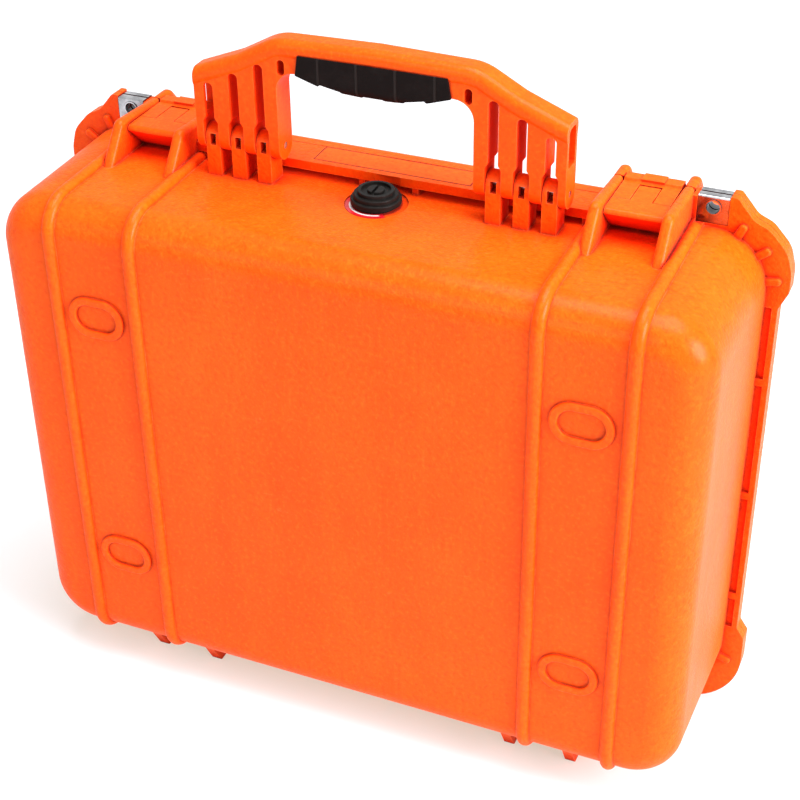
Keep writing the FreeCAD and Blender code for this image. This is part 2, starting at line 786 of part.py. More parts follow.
# Latch clamp: two arms and a raised rear bridge between them, turning on the lid's pin.
def make_latch_clamp():
    half = latch_half_width
    front = lever_pin_y - lever_reach() + latch_seam
    rear = latch_pin_y + latch_knuckle_rise
    knuckle_top = latch_top + latch_knuckle_rise
    knuckle_half = half - latch_arm_width
    plate = box(latch_x - half, latch_x + half, front - cut_past, rear, latch_bottom, latch_top)
    bridge_y = lever_pin_y + lever_tail + latch_seam
    raised = box(latch_x - knuckle_half, latch_x + knuckle_half, bridge_y + latch_lip, rear,
                 latch_bottom, knuckle_top)
    block_top = latch_top + latch_block_rise
    block_y = rear - latch_block_depth
    blocks = prism_x([(block_y, latch_top - latch_seam, 0), (block_y, latch_top, 0),
                      (block_y + latch_block_bevel, block_top, 0), (rear, block_top, round_tiny),
                      (rear, latch_top - latch_seam, 0)], latch_x - half, latch_x + half)
    eye = rod_x(latch_x - half, latch_x + half, latch_pin_y, latch_pin_height, latch_eye_radius)
    between = box(latch_x - knuckle_half, latch_x + knuckle_half, front - cut_past - cut_past, bridge_y,
                  latch_bottom - cut_past, knuckle_top + cut_past)
    swing = rod_x(latch_x - half - cut_past, latch_x + half + cut_past, lever_pin_y, lever_pin_height,
                  lever_reach() - latch_seam)
    ahead = box(latch_x - half - cut_past, latch_x + half + cut_past,
                front - cut_past - cut_past, lever_pin_y, latch_bottom - cut_past, knuckle_top + cut_past)
    rounding = ahead.cut(swing)
    pin_bore = rod_x(latch_x - half - cut_past, latch_x + half + cut_past, latch_pin_y, latch_pin_height,
                     latch_pin_radius + shaft_clearance)
    lever_bore = rod_x(latch_x - half - cut_past, latch_x + half + cut_past, lever_pin_y, lever_pin_height,
                       lever_pin_radius + shaft_clearance)
    return fused([plate, blocks, raised, eye]).cut([between, rounding, pin_bore, lever_bore])


# How far the lever's pull end stays from the lever's pin, so that it swings clear of the clamp's arms.
def lever_reach():
    return latch_front + latch_pin_back - lever_pin_forward - latch_lever_length


# Latch lever: a full-width pull end, a tongue between the clamp's arms and a hook under its hub.
def make_latch_lever():
    half = latch_half_width
    tongue_half = half - latch_arm_width - latch_seam
    front = parting_y - latch_front
    bevel_back = front + latch_lever_length + latch_lip
    bevel_low = latch_top - latch_bevel_height
    tail_y = lever_pin_y + lever_tail
    pull = prism_x([(front, latch_top, round_small), (front, latch_top - latch_lip, 0),
                    (bevel_back - latch_lip, bevel_low, 0), (bevel_back + latch_lip, bevel_low, 0),
                    (bevel_back + latch_lip, latch_top, 0)], latch_x - half, latch_x + half)
    clear = rod_x(latch_x - half - cut_past, latch_x + half + cut_past, lever_pin_y, lever_pin_height,
                  lever_reach())
    tongue = box(latch_x - tongue_half, latch_x + tongue_half, bevel_back - latch_lip, lever_pin_y,
                 latch_bottom + latch_seam, latch_top)
    tail = rod_x(latch_x - tongue_half, latch_x + tongue_half, lever_pin_y, lever_pin_height, lever_tail)
    tail = tail.common(box(latch_x - half, latch_x + half, bevel_back, tail_y,
                           lever_pin_height + lever_tail_lift, latch_top))
    hub = rod_x(latch_x - tongue_half, latch_x + tongue_half, lever_pin_y, lever_pin_height, lever_hub)
    toe_top = ledge_top - catch_lip_thickness - hook_clearance
    catch_face = parting_y - catch_wall - catch_lip_depth
    shank = box(latch_x - tongue_half, latch_x + tongue_half, catch_face - hook_clearance - hook_thickness,
                catch_face - hook_clearance, toe_top - hook_toe_height, latch_bottom + latch_lip)
    toe = box(latch_x - tongue_half, latch_x + tongue_half, catch_face - hook_clearance - hook_thickness,
              catch_face + hook_toe - hook_toe_height, toe_top - hook_toe_height, toe_top)
    bore = rod_x(latch_x - half, latch_x + half, lever_pin_y, lever_pin_height,
                 lever_pin_radius + shaft_clearance)
    return fused([pull.cut(clear), tongue, hub, tail, shank, toe]).cut(bore)


def make_lever_pin():
    half = latch_half_width
    return rod_x(latch_x - half + latch_seam, latch_x + half - latch_seam, lever_pin_y, lever_pin_height,
                 lever_pin_radius)


def make_latch_pin():
    half = (wing_spacing + wing_thickness) / 2 - latch_seam
    return rod_x(latch_x - half, latch_x + half, latch_pin_y, latch_pin_height, latch_pin_radius)


def make_hinge_pin():
    half = (foot_spacing + foot_thickness) / 2
    return rod_x(hinge_x - half, hinge_x + half, parting_y, hinge_height, hinge_pin_radius)


# Rail of the handle: a rounded section along a line that drops towards both legs.
def make_rail():
    centre_top = rail_top - rail_height / 2
    end_x = leg_outer_x + rail_overrun
    shoulder = (leg_shoulder_x, leg_shoulder_z, rail_bend_radius)
    bend = (rail_bend_x, centre_top - rail_sag, rail_bend_radius)
    right = [(0, centre_top, rail_bend_radius), bend, shoulder, (end_x, rail_end_z, 0)]
    left = [(-u, v, radius) for u, v, radius in reversed(right[1:])]
    corners = left + right
    edges = outline_edges(corners, lambda u, v: Vector(u, handle_y, v), closed=False)
    path = Part.Wire(edges)
    half = rail_depth / 2
    rise = rail_height / 2
    section_corners = [(-half, -rise, rail_round), (half, -rise, rail_round), (half, rise, rail_round),
                       (-half, rise, rail_round)]
    start = edges[0].Vertexes[0].Point
    along = edges[0].tangentAt(edges[0].FirstParameter)
    up = Vector(0, -1, 0).cross(along)
    section = Part.Wire(outline_edges(section_corners, lambda u, v: start + Vector(0, u, 0) + up * v))
    rail = path.makePipeShell([section], True, False)
    between_legs = box(-leg_outer_x, leg_outer_x, handle_y - rail_depth, handle_y + rail_depth,
                       0, rail_top + cut_past)
    return rail.common(between_legs)


# One leg of the handle: a blade from the rail to the pin, rounded around the pin.
def make_leg():
    near = handle_y - leg_depth / 2
    far = handle_y + leg_depth / 2
    corners = [(leg_inner_x, handle_pin_z, 0), (leg_outer_x, handle_pin_z, 0),
               (leg_outer_x, leg_outer_top, 0),
               (leg_shoulder_x, leg_shoulder_z, 0), (rail_bend_x, leg_inner_top, 0),
               (grip_half_length, leg_inner_top, 0), (grip_half_length + grip_end_flare, web_low, 0),
               (leg_inner_x, web_low, leg_round)]
    blade = prism_y(corners, near, far)
    foot = rod_x(leg_inner_x, leg_outer_x, handle_y, handle_pin_z, leg_depth / 2)
    return blade.fuse(foot)


# Slots and forks that leave prongs beside the lugs, the web's slot, the pin's bore and the end pocket.
def leg_cuts():
    near = handle_y - rail_depth
    far = handle_y + rail_depth
    fork_half = lug_width / 2 + lug_side_clearance
    slot_half = slot_width / 2
    fork_low = handle_pin_z - leg_depth / 2 - cut_past
    fork_top = handle_pin_z + fork_height
    cuts = []
    for x, top in zip(lug_places(), slot_tops):
        right = [(x + slot_half, top, round_small), (x + slot_half, fork_top, fork_neck / 2),
                 (x + fork_half, fork_top - fork_neck, fork_neck / 2), (x + fork_half, fork_low, 0)]
        left = [(2 * x - u, v, radius) for u, v, radius in reversed(right)]
        cuts.append(prism_y(right + left, near, far))
    slot_low = web_low - web_slot_low
    slot_high = slot_low + web_slot_length
    web_half = web_slot_width / 2
    web_round = web_half - smallest_edge
    cuts.append(prism_y([(web_slot_x - web_half, slot_low, web_round),
                         (web_slot_x + web_half, slot_low, web_round),
                         (web_slot_x + web_half, slot_high, web_round),
                         (web_slot_x - web_half, slot_high, web_round)], near, far))
    cuts.append(rod_x(leg_inner_x - cut_past, leg_outer_x + cut_past, handle_y, handle_pin_z,
                      handle_pin_radius + shaft_clearance))
    pocket_half = leg_depth / 2 - rail_pocket_wall
    pocket_low = leg_outer_top - rail_pocket_drop
    pocket = prism_x([(handle_y - pocket_half, pocket_low, round_small / 2),
                      (handle_y + pocket_half, pocket_low, round_small / 2),
                      (handle_y + pocket_half, leg_outer_top + rail_height / 2, round_small),
                      (handle_y - pocket_half, leg_outer_top + rail_height / 2, round_small)],
                     leg_outer_x - rail_pocket_depth, leg_outer_x + cut_past)
    cuts.append(pocket)
    return cuts


# Outline of the grip along the rail: straight top, flared ends and a belly of pads with grooves between.
def grip_outline():
    top = rail_top - rail_height + grip_inlay - rail_sag
    end_low = top - grip_end_depth
    foot = grip_half_length + grip_end_flare
    spans = grip_grooves + grip_grooves + 1
    belly = []
    for i in range(1, spans):
        x = grip_half_length * (i + i - spans) / spans
        level = end_low - grip_belly * (1 - (x / foot) ** 2)
        enters = i % 2 == 1
        belly.append((x - grip_ramp / 2, level if enters else level + grip_groove, round_tiny))
        belly.append((x + grip_ramp / 2, level + grip_groove if enters else level, round_tiny))
    left = [(-grip_half_length, top, 0), (-foot, end_low, 0)]
    right = [(foot, end_low, 0), (grip_half_length, top, 0)]
    return left + belly + right


def make_grip():
    corners = grip_outline()
    near = handle_y - grip_width / 2
    far = handle_y + grip_width / 2
    blank = prism_y(corners, near, far)
    low = min(v for u, v, radius in corners) - cut_past
    high = max(v for u, v, radius in corners) + cut_past
    reach = grip_half_length + grip_end_flare + cut_past
    hold = prism_x([(near, high, 0), (far, high, 0), (far, low, grip_round), (near, low, grip_round)],
                   -reach, reach)
    return blank.common(hold)


def make_handle_frame():
    leg = make_leg()
    cuts = leg_cuts()
    solid = fused([make_rail(), leg, mirrored(leg)]).cut(cuts + [mirrored(cut) for cut in cuts])
    return solid.cut(make_grip())


def make_handle_pin():
    return rod_x(leg_inner_x + handle_pin_inset, leg_outer_x - handle_pin_inset, handle_y, handle_pin_z,
                 handle_pin_radius)


valve_seat_z = top_of_base(valve_y) - valve_recess_depth


def valve_torus():
    middle = Vector(0, valve_y, valve_seat_z + valve_ring_radius / 2)
    return Part.makeTorus(valve_ring_path, valve_ring_radius, middle)


def make_valve_body():
    flange_top = valve_seat_z + valve_flange_height
    solid = fused([rod_z(0, valve_y, valve_seat_z, flange_top, valve_flange_radius),
                   rod_z(0, valve_y, valve_seat_z - valve_stem_length, valve_seat_z, valve_stem_radius),
                   rod_z(0, valve_y, flange_top, flange_top + valve_spigot_height, valve_spigot_radius)])
    return solid.cut(valve_torus())


def make_valve_ring():
    above = rod_z(0, valve_y, valve_seat_z, valve_seat_z + valve_flange_height, valve_flange_radius)
    return valve_torus().common(above)


def make_valve_nut():
    top = body_inner_top - base_height_draft
    low = top - valve_nut_height
    corner = valve_nut_width / 2 / math.cos(math.pi / nut_sides)
    angles = [math.tau * i / nut_sides for i in range(nut_sides)]
    points = [Vector(corner * math.cos(angle), valve_y + corner * math.sin(angle), low) for angle in angles]
    nut = Part.Face(Part.makePolygon(points + points[:1])).extrude(Vector(0, 0, valve_nut_height))
    return nut.cut(rod_z(0, valve_y, low - cut_past, top + cut_past, valve_stem_radius + shaft_clearance))


def make_valve_knob():
    low = valve_seat_z + valve_flange_height + knob_gap
    top = low + knob_height - valve_flange_height
    step_top = low + knob_step_height
    floor = top - knob_groove_depth
    turned = [(0, low, 0), (knob_radius, low, 0), (knob_radius, low + knob_brim, knob_round),
              (knob_step_radius, low + knob_brim, 0), (knob_step_radius, step_top, knob_round),
              (knob_rim_radius, step_top, 0), (knob_rim_radius, top, knob_round / 2),
              (knob_rim_inner, top, 0), (knob_rim_inner, floor, 0), (knob_boss_radius, floor, 0),
              (knob_boss_radius, top, knob_round / 2), (0, top, 0)]
    profile = Part.Face(Part.Wire(outline_edges(turned, lambda u, v: Vector(u, valve_y, v))))
    solid = profile.revolve(Vector(0, valve_y, 0), Vector(0, 0, 1), full_turn_angle)
    notch = box(-knob_notch / 2, knob_notch / 2, valve_y - knob_boss_radius - cut_past,
                valve_y + knob_boss_radius + cut_past, floor, top + cut_past)
    bore = rod_z(0, valve_y, low - cut_past, low + valve_spigot_height, valve_spigot_radius + shaft_clearance)
    return solid.cut([notch, bore])


def make_valve_label():
    ring = rod_z(0, valve_y, valve_seat_z, valve_seat_z + label_thickness, label_outer)
    ring = ring.cut(rod_z(0, valve_y, valve_seat_z - cut_past, valve_seat_z + cut_past, label_inner))
    sector = Part.makeCylinder(label_outer + cut_past, label_thickness, Vector(0, valve_y, valve_seat_z),
                               Vector(0, 0, 1), label_sweep_angle)
    sector.rotate(Vector(0, valve_y, 0), Vector(0, 0, 1), label_start_angle)
    return ring.common(sector)


def make_name_plate():
    near = parting_y - shelf_depth + plate_margin
    return box(-plate_length / 2, plate_length / 2, near, near + plate_width,
               ledge_top - plate_thickness, ledge_top)


def foam_slab(cavity, y1, y2):
    return cavity.common(box(-half_width, half_width, y1, y2, 0, body_top))


def foam_valve_room():
    return rod_z(0, valve_y, body_inner_top - foam_valve_depth, body_top, foam_valve_radius)


def make_foam_pad():
    start = front_y + wall + foam_clearance
    pad = foam_slab(base_cavity(foam_clearance), start, pocket_floor_y - foam_layer_gap)
    return pad.cut(foam_valve_room())


def make_foam_block():
    face = parting_y - foam_block_face
    block = foam_slab(base_cavity(foam_clearance), pocket_floor_y, face)
    middle = (body_bottom + body_top) / 2
    low = middle - laptop_width / 2
    high = middle + laptop_width / 2
    near = pocket_floor_y - cut_past
    far = face + cut_past
    pocket = prism_y(rounded_rectangle(laptop_length / 2, low, high, laptop_corner), near, far)
    notches = [rod_y(0, near, far, z, finger_notch_radius) for z in (low, high)]
    return block.cut([pocket, foam_valve_room()] + notches)


def make_lid_foam():
    return foam_slab(lid_cavity(foam_clearance), lid_face_y + foam_lid_face, back_y - wall - foam_clearance)


def make_seal():
    bottom = lid_face_y + seal_groove_depth
    return seal_ring(seal_width, bottom - seal_depth, bottom)


def save_pair(name, shape):
    save(name + "_right", shape)
    save(name + "_left", mirrored(shape))


save("base_shell", make_base_shell())
save("lid_shell", make_lid_shell())
save_pair("hinge_pin", make_hinge_pin())
save("handle_frame", make_handle_frame())
save("handle_grip", make_grip())
save_pair("handle_pin", make_handle_pin())
save_pair("latch_clamp", make_latch_clamp())
save_pair("latch_lever", make_latch_lever())
save_pair("latch_pin", make_latch_pin())
save_pair("lever_pin", make_lever_pin())
save_pair("base_padlock_guard", guard(parting_y - hook_clearance, base_guard_sheet_y, -1))
save_pair("lid_padlock_guard", guard(lid_face_y + hook_clearance, lid_guard_sheet_y, 1))
save("valve_body", make_valve_body())
save("valve_ring", make_valve_ring())
save("valve_nut", make_valve_nut())
save("valve_knob", make_valve_knob())
save("valve_label", make_valve_label())
save("name_plate", make_name_plate())
save("lid_seal", make_seal())
save("base_foam_pad", make_foam_pad())
save("base_foam_block", make_foam_block())
save("lid_foam", make_lid_foam())
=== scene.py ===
import math
import bpy
import bmesh
from mathutils import Matrix, Vector


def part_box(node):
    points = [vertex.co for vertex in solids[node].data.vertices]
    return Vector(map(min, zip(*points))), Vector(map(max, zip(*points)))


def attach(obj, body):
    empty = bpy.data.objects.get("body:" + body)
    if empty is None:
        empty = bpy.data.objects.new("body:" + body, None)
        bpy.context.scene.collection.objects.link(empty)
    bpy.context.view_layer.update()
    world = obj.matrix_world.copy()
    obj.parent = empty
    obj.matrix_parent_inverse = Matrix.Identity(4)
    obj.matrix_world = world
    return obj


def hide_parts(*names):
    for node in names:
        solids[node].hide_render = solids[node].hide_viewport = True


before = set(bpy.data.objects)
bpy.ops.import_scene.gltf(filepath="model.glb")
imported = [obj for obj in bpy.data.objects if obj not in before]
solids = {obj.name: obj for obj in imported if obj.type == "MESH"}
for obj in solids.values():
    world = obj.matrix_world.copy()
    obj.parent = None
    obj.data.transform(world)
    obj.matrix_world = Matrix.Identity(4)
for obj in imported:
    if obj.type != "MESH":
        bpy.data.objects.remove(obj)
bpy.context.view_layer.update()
mm = 0.001
print("case frame loaded:", len(solids), "solids")

# Camera: stands high at the right front corner and looks down on the case
cameraView = {
    "place": (382.2 * mm, -854.2 * mm, 831.04 * mm),
    "turn": 0.41036,       # radians to the left of straight ahead
    "tilt": -0.57818,      # radians below the horizon
    "roll": -0.01396,
    "lens": 75.35,         # on a 36 mm wide frame
    "frame": 36.0,
    "near": 0.02,
    "far": 60.0,
}


def placeCamera(view):
    turnCos, turnSin = math.cos(view["turn"]), math.sin(view["turn"])
    tiltCos, tiltSin = math.cos(view["tilt"]), math.sin(view["tilt"])
    ahead = Vector((-turnSin * tiltCos, turnCos * tiltCos, tiltSin))
    level = Vector((turnCos, turnSin, 0))
    above = level.cross(ahead)
    rollCos, rollSin = math.cos(view["roll"]), math.sin(view["roll"])
    right = level * rollCos + above * rollSin
    up = above * rollCos - level * rollSin
    data = bpy.data.cameras.new("photoCamera")
    data.sensor_width = view["frame"]
    data.lens = view["lens"]
    data.clip_start, data.clip_end = view["near"], view["far"]
    camera = bpy.data.objects.new("photoCamera", data)
    bpy.context.scene.collection.objects.link(camera)
    stand = Matrix((right, up, -ahead)).transposed().to_4x4()
    stand.translation = Vector(view["place"])
    camera.matrix_world = stand
    bpy.context.scene.camera = camera


placeCamera(cameraView)
print("camera placed")

noiseMiddle = 0.5            # a noise swings about this


# Short ways to write a finish as nodes. A noise is given by its scale, detail and roughness. A range is
# given by the values at its two ends, and then by what these become where that isn't 0 and 1.
class Finish:
    def __init__(self, name):
        self.material = bpy.data.materials.new(name)
        self.material.use_nodes = True
        self.tree = self.material.node_tree
        self.shader = self.tree.nodes["Principled BSDF"]
        self.place = self.add("ShaderNodeTexCoord").outputs["Object"]

    def add(self, kind, **settings):
        node = self.tree.nodes.new(kind)
        for key, value in settings.items():
            setattr(node, key, value)
        return node

    def link(self, source, target):
        self.tree.links.new(source, target)

    def put(self, socket, value):
        if isinstance(value, bpy.types.NodeSocket):
            self.link(value, socket)
        else:
            socket.default_value = value

    def noise(self, scale, detail, roughness, stretch=None, distortion=0.0):
        node = self.add("ShaderNodeTexNoise")
        node.inputs["Scale"].default_value = scale
        node.inputs["Detail"].default_value = detail
        node.inputs["Roughness"].default_value = roughness
        node.inputs["Distortion"].default_value = distortion
        source = self.place
        if stretch:
            moved = self.add("ShaderNodeMapping")
            moved.inputs["Scale"].default_value = stretch
            self.link(self.place, moved.inputs["Vector"])
            source = moved.outputs["Vector"]
        self.link(source, node.inputs["Vector"])
        return node.outputs["Fac"]

    def cells(self, scale):
        node = self.add("ShaderNodeTexVoronoi")
        node.inputs["Scale"].default_value = scale
        self.link(self.place, node.inputs["Vector"])
        return node.outputs["Distance"]

    def span(self, value, low, high, start=0.0, end=1.0, smooth=False):
        node = self.add("ShaderNodeMapRange")
        if smooth:
            node.interpolation_type = "SMOOTHSTEP"
        for socket, given in zip(node.inputs, (value, low, high, start, end)):
            self.put(socket, given)
        return node.outputs["Result"]

    def maths(self, operation, first, second=0.0):
        node = self.add("ShaderNodeMath", operation=operation)
        for socket, given in zip(node.inputs, (first, second)):
            self.put(socket, given)
        return node.outputs["Value"]

    def blend(self, share, first, second):
        node = self.add("ShaderNodeMix", data_type="RGBA")
        firstColour, secondColour = [socket for socket in node.inputs if socket.type == "RGBA"]
        self.put(node.inputs["Factor"], share)
        self.put(firstColour, first)
        self.put(secondColour, second)
        return [socket for socket in node.outputs if socket.type == "RGBA"][0]

    def bump(self, height, distance, strength, under=None):
        node = self.add("ShaderNodeBump")
        node.inputs["Strength"].default_value = strength
        node.inputs["Distance"].default_value = distance
        self.put(node.inputs["Height"], height)
        if under is not None:
            self.link(under, node.inputs["Normal"])
        return node.outputs["Normal"]

    def openness(self, reach, samples=8):
        node = self.add("ShaderNodeAmbientOcclusion", samples=samples)
        node.inputs["Distance"].default_value = reach
        return node.outputs["AO"]

    def axis(self, letter):
        node = self.add("ShaderNodeSeparateXYZ")
        self.link(self.place, node.inputs["Vector"])
        return node.outputs[letter]

    def finish(self, colour, roughness, normal, **plain):
        self.put(self.shader.inputs["Base Color"], colour)
        self.put(self.shader.inputs["Roughness"], roughness)
        self.link(normal, self.shader.inputs["Normal"])
        for key, value in plain.items():
            self.shader.inputs[key.replace("_", " ")].default_value = value
        return self.material


def rgb(red, green, blue):
    return (red, green, blue, 1.0)


# Orange moulded plastic: fine sandblasted grain, faint flow marks, painted shade in the creases, painted
# shade with dirt along the seams, and pale rubbed edges that also carry a painted highlight
orangePlastic = {
    "colour": rgb(0.97, 0.083, 0.0016),
    "ruddy": rgb(0.90, 0.066, 0.0015),
    "pale": rgb(1.0, 0.147, 0.007),
    "deep": rgb(0.78, 0.022, 0.001),         # painted shade in the creases, deepened to a saturated red
    "dirt": rgb(0.26, 0.014, 0.012),         # painted shade along the seams, broken up by dirt; also the plate's edge line
    "paleWearAndHighlight": rgb(1.0, 0.25, 0.06),          # pale wear with a painted highlight on the edges, and pale wear in scuffs
    "plainShare": 0.45,                      # how far the clouds of tone give way to the plain colour
    "broad": (7.0, 4.0, 0.6),
    "broadRange": (0.3, 0.7),
    "broadShare": 0.40,
    "flowMarks": (40.0, 6.0, 0.7),
    "flowStretch": (1.0, 1.0, 0.12),
    "flowTwist": 0.5,
    "flowRange": (0.35, 0.7),
    "flowShare": 0.35,
    "mottle": (48.0, 4.0, 0.62),
    "mottleRange": (0.32, 0.7),
    "mottleShare": 0.20,
    "toneRange": (0.05, 0.95),
    "grain": 650.0,                          # scale of the finest grain, the specks are twice as large
    "fine": (2.0, 0.6),
    "speckle": (2.0, 0.5),
    "paleSpecks": (0.54, 0.70, 0.0, 0.42),
    "ruddySpecks": (0.46, 0.30, 0.0, 0.60),
    "creaseReach": 22 * mm,
    "creaseShadeRange": (0.25, 0.92, 0.80, 0.0),
    "openRange": (0.30, 0.80),               # faces this open are polished, creases stay dull
    "seamReach": 4.0 * mm,
    "seamRange": (0.45, 0.90, 0.85, 0.0),
    "seamDirt": (160.0, 4.0, 0.7),
    "seamDirtRange": (0.30, 0.60, 0.45, 1.0),
    "edgeReach": 0.9 * mm,
    "edgeRange": (0.985, 0.9),
    "edgeWear": (45.0, 4.0, 0.7),
    "edgeWearRange": (0.4, 0.62),
    "edgeHighlightAndWearShare": 0.55,
    "scuffs": (85.0, 7.0, 0.78),
    "scuffStretch": (0.30, 0.30, 1.0),
    "scuffTwist": 1.4,
    "scuffRange": (0.64, 0.73),
    "scuffShare": 0.26,
    "roughness": 0.44,
    "mottleRoughness": 0.16,
    "flowRoughness": 0.30,
    "creaseRoughness": 0.45,
    "fineDepth": 0.7,
    "speckleDepth": 0.9,
    "grainDepth": 0.5 * mm,
    "grainStrength": 0.8,
    "mottleDepth": 1.1 * mm,
    "mottleStrength": 0.30,
    "polish": 0.19,
    "polishRoughness": 0.27,
    "shine": 0.02,
    "sheen": 0.12,
    "sheenRoughness": 0.30,
    "sheenTint": rgb(1.0, 0.72, 0.50),
    "bevelSamples": 4,
}

# A dark line drawn along the edge of the name plate's face
plateEdge = {"inner": 0.85 * mm, "outer": 0.45 * mm, "dirt": 0.85}


def edgeLine(f, node, setup):
    low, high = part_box(node)
    past = [f.maths("SUBTRACT", f.maths("ABSOLUTE", f.maths("SUBTRACT", f.axis(letter), (start + end) / 2)),
                    (end - start) / 2) for letter, start, end in (("X", low.x, high.x), ("Y", low.y, high.y))]
    return f.span(f.maths("MAXIMUM", *past), -setup["inner"], -setup["outer"], 0.0, setup["dirt"])


def edgeHighlightAndWear(f, setup, wearAndEdgeHighlight):
    # Pale wear on the rounded edges with a painted highlight: the bevel's bent normal finds the edges, and
    # noise breaks them into patches
    edge = f.add("ShaderNodeBevel", samples=setup["bevelSamples"])
    edge.inputs["Radius"].default_value = setup["edgeReach"]
    surface = f.add("ShaderNodeNewGeometry")
    turned = f.add("ShaderNodeVectorMath", operation="DOT_PRODUCT")
    f.link(edge.outputs["Normal"], turned.inputs[0])
    f.link(surface.outputs["Normal"], turned.inputs[1])
    patches = f.span(f.noise(*setup["edgeWear"]), *setup["edgeWearRange"], 0.0, setup["edgeHighlightAndWearShare"] * wearAndEdgeHighlight)
    return f.maths("MULTIPLY", f.span(turned.outputs["Value"], *setup["edgeRange"]), patches)


def makeOrange(name, setup, flow=1.0, wearAndEdgeHighlight=1.0, edged=None):
    f = Finish(name)
    broad = f.noise(*setup["broad"])
    mottle = f.noise(*setup["mottle"])
    flowMarks = f.noise(*setup["flowMarks"], stretch=setup["flowStretch"], distortion=setup["flowTwist"])
    speckle = f.noise(setup["grain"] / 2, *setup["speckle"])
    fine = f.noise(setup["grain"], *setup["fine"])

    # Clouds of tone and specks
    tone = f.maths("ADD", f.maths("MULTIPLY", f.span(broad, *setup["broadRange"]), setup["broadShare"]),
                   f.maths("MULTIPLY", f.span(flowMarks, *setup["flowRange"]), setup["flowShare"] * flow))
    tone = f.maths("ADD", tone,
                   f.maths("MULTIPLY", f.span(mottle, *setup["mottleRange"]), setup["mottleShare"]))
    colour = f.blend(f.span(tone, *setup["toneRange"]), setup["ruddy"], setup["pale"])
    colour = f.blend(setup["plainShare"], colour, setup["colour"])
    colour = f.blend(f.span(speckle, *setup["paleSpecks"]), colour, setup["pale"])
    colour = f.blend(f.span(speckle, *setup["ruddySpecks"]), colour, setup["ruddy"])

    # Painted shade in the creases, painted shade with dirt along the seams, pale rubbed edges with a painted
    # highlight, and scuffs
    crease = f.openness(setup["creaseReach"])
    # painted shade: the creases darken towards a saturated red where the occlusion is deep
    colour = f.blend(f.span(crease, *setup["creaseShadeRange"], smooth=True), colour, setup["deep"])
    openFaces = f.span(crease, *setup["openRange"])
    # painted shade along the narrow seams, broken up into patches of dirt
    seamShadeAndDirt = f.maths("MULTIPLY", f.span(f.openness(setup["seamReach"]), *setup["seamRange"]),
                    f.span(f.noise(*setup["seamDirt"]), *setup["seamDirtRange"]))
    colour = f.blend(seamShadeAndDirt, colour, setup["dirt"])
    if edged:
        colour = f.blend(edgeLine(f, edged, plateEdge), colour, setup["dirt"])
    # painted highlight with pale wear on the edges
    colour = f.blend(edgeHighlightAndWear(f, setup, wearAndEdgeHighlight), colour, setup["paleWearAndHighlight"])
    scuffs = f.noise(*setup["scuffs"], stretch=setup["scuffStretch"], distortion=setup["scuffTwist"])
    colour = f.blend(f.span(scuffs, *setup["scuffRange"], 0.0, setup["scuffShare"] * wearAndEdgeHighlight), colour,
                     setup["paleWearAndHighlight"])

    # Roughness and relief
    rough = setup["roughness"]
    for marks, share in ((mottle, setup["mottleRoughness"]), (flowMarks, setup["flowRoughness"] * flow)):
        rough = f.maths("ADD", rough, f.maths("MULTIPLY", f.maths("SUBTRACT", marks, noiseMiddle), share))
    rough = f.maths("ADD", rough, f.span(openFaces, 0.0, 1.0, setup["creaseRoughness"], 0.0))
    grain = f.maths("ADD", f.maths("MULTIPLY", fine, setup["fineDepth"]),
                    f.maths("MULTIPLY", speckle, setup["speckleDepth"]))
    normal = f.bump(grain, setup["grainDepth"], setup["grainStrength"])
    normal = f.bump(mottle, setup["mottleDepth"], setup["mottleStrength"], under=normal)
    f.put(f.shader.inputs["Coat Weight"], f.maths("MULTIPLY", openFaces, setup["polish"]))
    return f.finish(colour, rough, normal, Specular_IOR_Level=setup["shine"],
                    Coat_Roughness=setup["polishRoughness"], Sheen_Weight=setup["sheen"],
                    Sheen_Roughness=setup["sheenRoughness"], Sheen_Tint=setup["sheenTint"])


# Dull black moulded plastic and rubber
blackPlastic = {
    "colour": rgb(0.0085, 0.0075, 0.0070),
    "dust": rgb(0.034, 0.029, 0.026),
    "roughness": 0.36,
    "grain": 1500.0,
    "grainDepth": 0.06 * mm,
    "grainStrength": 0.8,
    "fine": (3.0, 0.6),
    "patch": (60.0, 5.0, 0.65),
    "dustRange": (0.45, 0.75, 0.0, 0.45),
    "patchRoughness": 0.25,
    "shine": 0.07,
}
blackRubber = dict(blackPlastic, colour=rgb(0.0055, 0.0042, 0.0040), dust=rgb(0.019, 0.016, 0.015),
                   roughness=0.62, grain=1200.0, grainDepth=0.12 * mm)
sealBlack = dict(blackRubber, roughness=0.5, grain=900.0, grainDepth=0.08 * mm)

# The grip's pads are parted by fine lines across it
gripPads = {
    "spacing": 25.0 * mm,
    "shift": 9.6 * mm,       # how far left of the case's middle one of the lines lies
    "line": 0.5 * mm,
    "soft": 0.5 * mm,
    "depth": 0.6 * mm,
    "strength": 0.8,
}


def makeBlack(name, setup, pads=None):
    f = Finish(name)
    patch = f.noise(*setup["patch"])
    fine = f.noise(setup["grain"], *setup["fine"])
    colour = f.blend(f.span(patch, *setup["dustRange"]), setup["colour"], setup["dust"])
    rough = f.maths("ADD", setup["roughness"],
                    f.maths("MULTIPLY", f.maths("SUBTRACT", patch, noiseMiddle), setup["patchRoughness"]))
    normal = f.bump(fine, setup["grainDepth"], setup["grainStrength"])
    if pads:
        toLine = f.maths("PINGPONG", f.maths("ADD", f.axis("X"), pads["shift"]), pads["spacing"] / 2)
        between = f.span(toLine, pads["line"], pads["line"] + pads["soft"])
        colour = f.blend(f.maths("SUBTRACT", 1.0, between), colour, setup["dust"])
        normal = f.bump(between, pads["depth"], pads["strength"], under=normal)
    return f.finish(colour, rough, normal, Specular_IOR_Level=setup["shine"])


